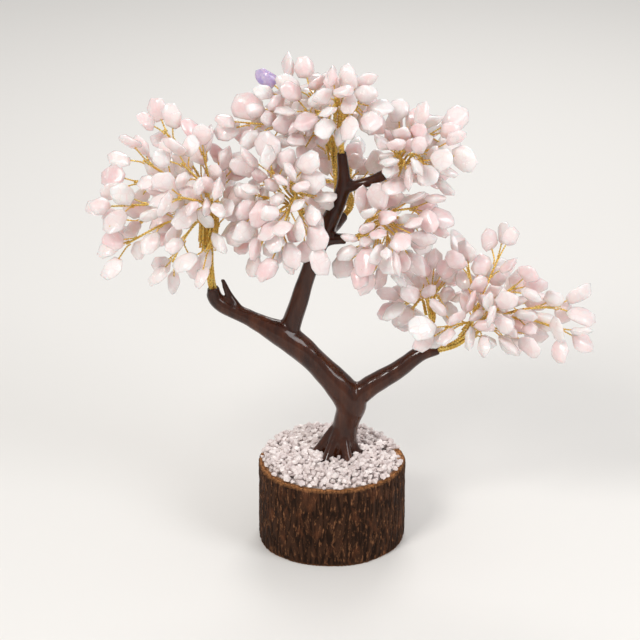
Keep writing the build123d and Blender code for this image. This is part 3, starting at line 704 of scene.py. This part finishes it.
def makeBark():
    f = Finish("roughBark")
    # the "ridge" value paints shade into the bark: its colour ramp turns far darker in the fissures and under
    # the flakes
    ridge = f.attribute("ridge")
    patch = f.noise(130.0, 6.0, 0.68, f.stretched((1.0, 1.0, 0.5)))
    fleck = f.noise(700.0, 6.0, 0.68, f.stretched((1.0, 1.0, 0.3)))
    browns = [(0.0, (0.008, 0.003, 0.0015)), (0.45, (0.022, 0.009, 0.004)), (1.0, (0.052, 0.022, 0.011))]
    barkBrownWithPaintedShade = f.ramp(ridge, browns)
    rusty = f.mix(f.span(patch, 0.0, 0.7, 0.52, 0.72), barkBrownWithPaintedShade, (0.15, 0.052, 0.022))
    pale = f.mix(f.span(fleck, 0.0, 0.8, 0.55, 0.70), rusty, (0.34, 0.15, 0.070))
    torn = f.mix(f.span(f.noise(820.0, 5.0, 0.65), 0.1, 1.0, 0.40, 0.58), pale, (0.52, 0.23, 0.085))
    cut = f.mix(f.attribute("cut"), pale, torn)
    f.colour(cut)
    f.roughness(f.span(fleck, 0.62, 0.92))
    f.set(Specular_IOR_Level=0.12)
    f.bump(f.noise(1300.0, 5.0, 0.65), 0.5, 0.0006)
    inner, bearings, radii, top = barkRadius()
    verts, faces, ridges, cuts = [], [], [], []
    around, rows = bark["around"], bark["rows"]

    def addRing(make):
        for k in range(around):
            a = -math.pi + 2 * math.pi * k / around
            r = float(np.interp(a, bearings, radii, period=2 * math.pi))
            (x, y, z), height, isCut = make(a, r)
            verts.append((x, y, z))
            ridges.append(height)
            cuts.append(isCut)

    def wall(share):
        def make(a, r):
            z = top * share
            deep, flake, crumb = barkDepth(a, z, r)
            edge = min(1.0, (0.5 - abs(share - 0.5)) / bark["wornEdge"])  # worn back at both cut edges
            back = bark["fissure"] * deep + bark["flake"] * flake + bark["wornBack"] * (1 - edge) ** 2
            rr = r - back + bark["crumb"] * crumb
            # this value is low in the fissures and under flakes, where it darkens the bark colour as painted
            # shade
            height = 1 - 0.75 * deep - 0.25 * flake
            return (math.cos(a) * rr, math.sin(a) * rr, z), height, 0.55 * (1 - edge)
        return make

    def cutFace(share, z):
        def make(a, r):
            deep, flake, crumb = barkDepth(a, z, r)
            outer = r - bark["fissure"] * deep - bark["flake"] * flake - bark["faceInset"]
            rr = outer + (inner - outer) * share
            pit = abs(bark["faceGrain"] * crumb) if 0 < share < 1 else 0
            return (math.cos(a) * rr, math.sin(a) * rr, z - pit if z == top else z + pit), 0.7, 1.0
        return make

    for k in range(rows + 1):
        addRing(wall(k / rows))
    for k in range(1, bark["rim"] + 1):
        addRing(cutFace(k / bark["rim"], top))
    for k in range(bark["rim"]):
        addRing(cutFace(1 - k / bark["rim"], 0.0))
    total = rows + 1 + 2 * bark["rim"]
    for i in range(total):
        for k in range(around):
            a, b = i * around + k, i * around + (k + 1) % around
            up = (i + 1) % total * around
            faces.append((a, b, up + (k + 1) % around, up + k))
    piece = newPiece("bark_skin", verts, faces, f, body="tree", slot="bark", replaces=["bark_ring"])
    storeValues(piece.data, "ridge", ridges)
    storeValues(piece.data, "cut", cuts)


def woodFinish():
    f = Finish("cutWood")
    rings = f.add("ShaderNodeTexWave", wave_type="RINGS", rings_direction="Z",
                  Scale=95.0, Distortion=3.0, Detail=3.0)
    f.join(f.place, rings.inputs["Vector"])
    f.colour(f.ramp(rings.outputs["Fac"], [(0.2, (0.36, 0.18, 0.08)), (0.8, (0.56, 0.33, 0.16))]))
    f.roughness(f.span(f.noise(300.0), 0.55, 0.8))
    f.bump(f.noise(900.0, 5.0), 0.3, 0.0004)
    return f


def glueFinish():
    f = Finish("setGlue")
    f.colour(f.ramp(f.noise(240.0, 4.0), [(0.3, (0.66, 0.58, 0.56)), (0.7, (0.84, 0.79, 0.78))]))
    f.roughness(f.span(f.noise(120.0), 0.2, 0.5))
    f.set(Coat_Weight=0.4)
    f.bump(f.noise(420.0, 3.0), 0.5, 0.0008)
    return f


def dress(node, finish):
    data = frame["nodes"][node].data
    data.materials.clear()
    data.materials.append(finish.mat)


makeBark()
dress("wood_disc", woodFinish())
print("log slice dressed")

# crushed clear quartz, piled to the rim and up against the roots
gravel = {
    "pitch": 0.0029,
    "layers": 3,
    "size": (0.0026, 0.0056),
    "cuts": 7,
    "cutLevel": (0.45, 0.78),  # in radii
    "width": (0.65, 1.0),
    "height": (0.6, 0.9),
    "past": 0.0025,  # the pile reaches this far over the wood's edge, onto the bark
    "bedLift": 0.0004,
    "stray": 0.3,  # in pitches
    "layerShift": (0.37, 0.31),
    "rowGap": 0.866,
    "tilt": 0.6,
    "edgeRoom": (0.35, 0.9),  # in stone sizes: the lowest layer, the others
    "rest": 0.30,
    "layerRise": 0.0018,
    "mound": 0.0012,
    "trunkRoom": 0.10,
}


def stoneShape(rng, size):  # a broken stone: a ball cut flat a few times
    bm = bmesh.new()
    bmesh.ops.create_icosphere(bm, subdivisions=1, radius=size / 2)
    for _ in range(gravel["cuts"]):
        n = Vector((rng.gauss(0, 1), rng.gauss(0, 1), rng.gauss(0, 1))).normalized()
        level = size / 2 * rng.uniform(*gravel["cutLevel"])
        for v in bm.verts:
            over = v.co.dot(n) - level
            if over > 0:
                v.co -= n * over
    squash = Vector((1, rng.uniform(*gravel["width"]), rng.uniform(*gravel["height"])))
    verts = [v.co * squash for v in bm.verts]
    faces = [tuple(v.index for v in f.verts) for f in bm.faces]
    bm.free()
    return verts, faces


def makeGravel():
    f = Finish("crushedQuartz")
    whites = [(0.0, (0.64, 0.55, 0.54)), (0.4, (0.76, 0.67, 0.65)), (1.0, (0.87, 0.80, 0.78))]
    white = f.ramp(f.attribute("tone"), whites)
    cloud = f.noise(380.0, 5.0, 0.6)
    f.colour(f.mix(f.span(cloud, 0.0, 0.4, 0.45, 0.7), white, (0.86, 0.80, 0.79)))
    f.roughness(f.span(cloud, 0.16, 0.42))
    f.set(IOR=1.54)
    f.bump(f.noise(1400.0, 4.0), 0.12, 0.0003)
    rng = random.Random(8)
    _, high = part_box("wood_disc")
    reach = high.x + gravel["past"]
    bed = high.z + gravel["bedLift"]
    graph = bpy.context.evaluated_depsgraph_get()
    tree = BVHTree.FromObject(trunkPiece, graph)
    verts, faces, tones = [], [], []
    pitch, stray = gravel["pitch"], gravel["stray"]
    shiftX, shiftY = gravel["layerShift"]
    lowRoom, upRoom = gravel["edgeRoom"]
    count = int(reach / pitch) + 2
    for layer in range(gravel["layers"]):
        for j in range(-count, count + 1):
            for i in range(-count, count + 1):
                x = (i + 0.5 * (j % 2) + shiftX * layer) * pitch + rng.uniform(-stray, stray) * pitch
                y = (j * gravel["rowGap"] + shiftY * layer) * pitch + rng.uniform(-stray, stray) * pitch
                size = rng.uniform(*gravel["size"])
                turn = rng.uniform(0, math.pi)
                tilt = rng.uniform(-gravel["tilt"], gravel["tilt"])
                tone = rng.random()
                newVerts, newFaces = stoneShape(rng, size)
                r = math.hypot(x, y)
                if r > reach - lowRoom * size or (layer and r > reach - upRoom * size):
                    continue
                pile = layer * gravel["layerRise"] + gravel["mound"] * (1 - (r / reach) ** 2)
                z = bed + gravel["rest"] * size + pile
                spot = Vector((x, y, z))
                near = tree.find_nearest(spot)
                if (spot - near[0]).dot(near[1]) < gravel["trunkRoom"] * size:  # in the trunk
                    continue
                c, s = math.cos(turn), math.sin(turn)
                ct, st = math.cos(tilt), math.sin(tilt)
                faces += [tuple(len(verts) + k for k in face) for face in newFaces]
                for v in newVerts:
                    vy, vz = v.y * ct - v.z * st, v.y * st + v.z * ct
                    verts.append((x + v.x * c - vy * s, y + v.x * s + vy * c, max(bed, z + vz)))
                tones += [tone] * len(newVerts)
    piece = newPiece("crushed_quartz", verts, faces, f, body="tree", slot="clear_quartz",
                     replaces=["quartz_gravel"], smooth=False)
    storeValues(piece.data, "tone", tones)
    print("gravel faces", len(faces))


glue = {
    "rings": 14,
    "around": 72,
    "thick": 0.0008,
    "ripple": (260, 0.0003),  # scale and height
    "edge": 0.00002,
}


def makeGlue():  # a thin uneven sheet of glue under the stones, up to the trunk
    low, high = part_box("glue_bed")
    verts, faces = [(0, 0, high.z)], []
    rings, around = glue["rings"], glue["around"]
    scale, ripple = glue["ripple"]
    for i in range(1, rings + 1):
        for k in range(around):
            a = 2 * math.pi * k / around
            r = high.x * i / rings
            x, y = r * math.cos(a), r * math.sin(a)
            z = low.z + glue["thick"] + ripple * noise.noise(Vector((x * scale, y * scale, 0)))
            verts.append((x, y, low.z + glue["edge"] if i == rings else z))
    faces += [(0, 1 + k, 1 + (k + 1) % around) for k in range(around)]
    for i in range(rings - 1):
        for k in range(around):
            a, b = 1 + i * around + k, 1 + i * around + (k + 1) % around
            faces.append((a, a + around, b + around, b))
    faces.append(tuple(1 + (rings - 1) * around + k for k in reversed(range(around))))
    newPiece("glue_sheet", verts, faces, glueFinish(), body="tree", slot="glue", replaces=["glue_bed"])


makeGlue()
makeGravel()
print("quartz laid")
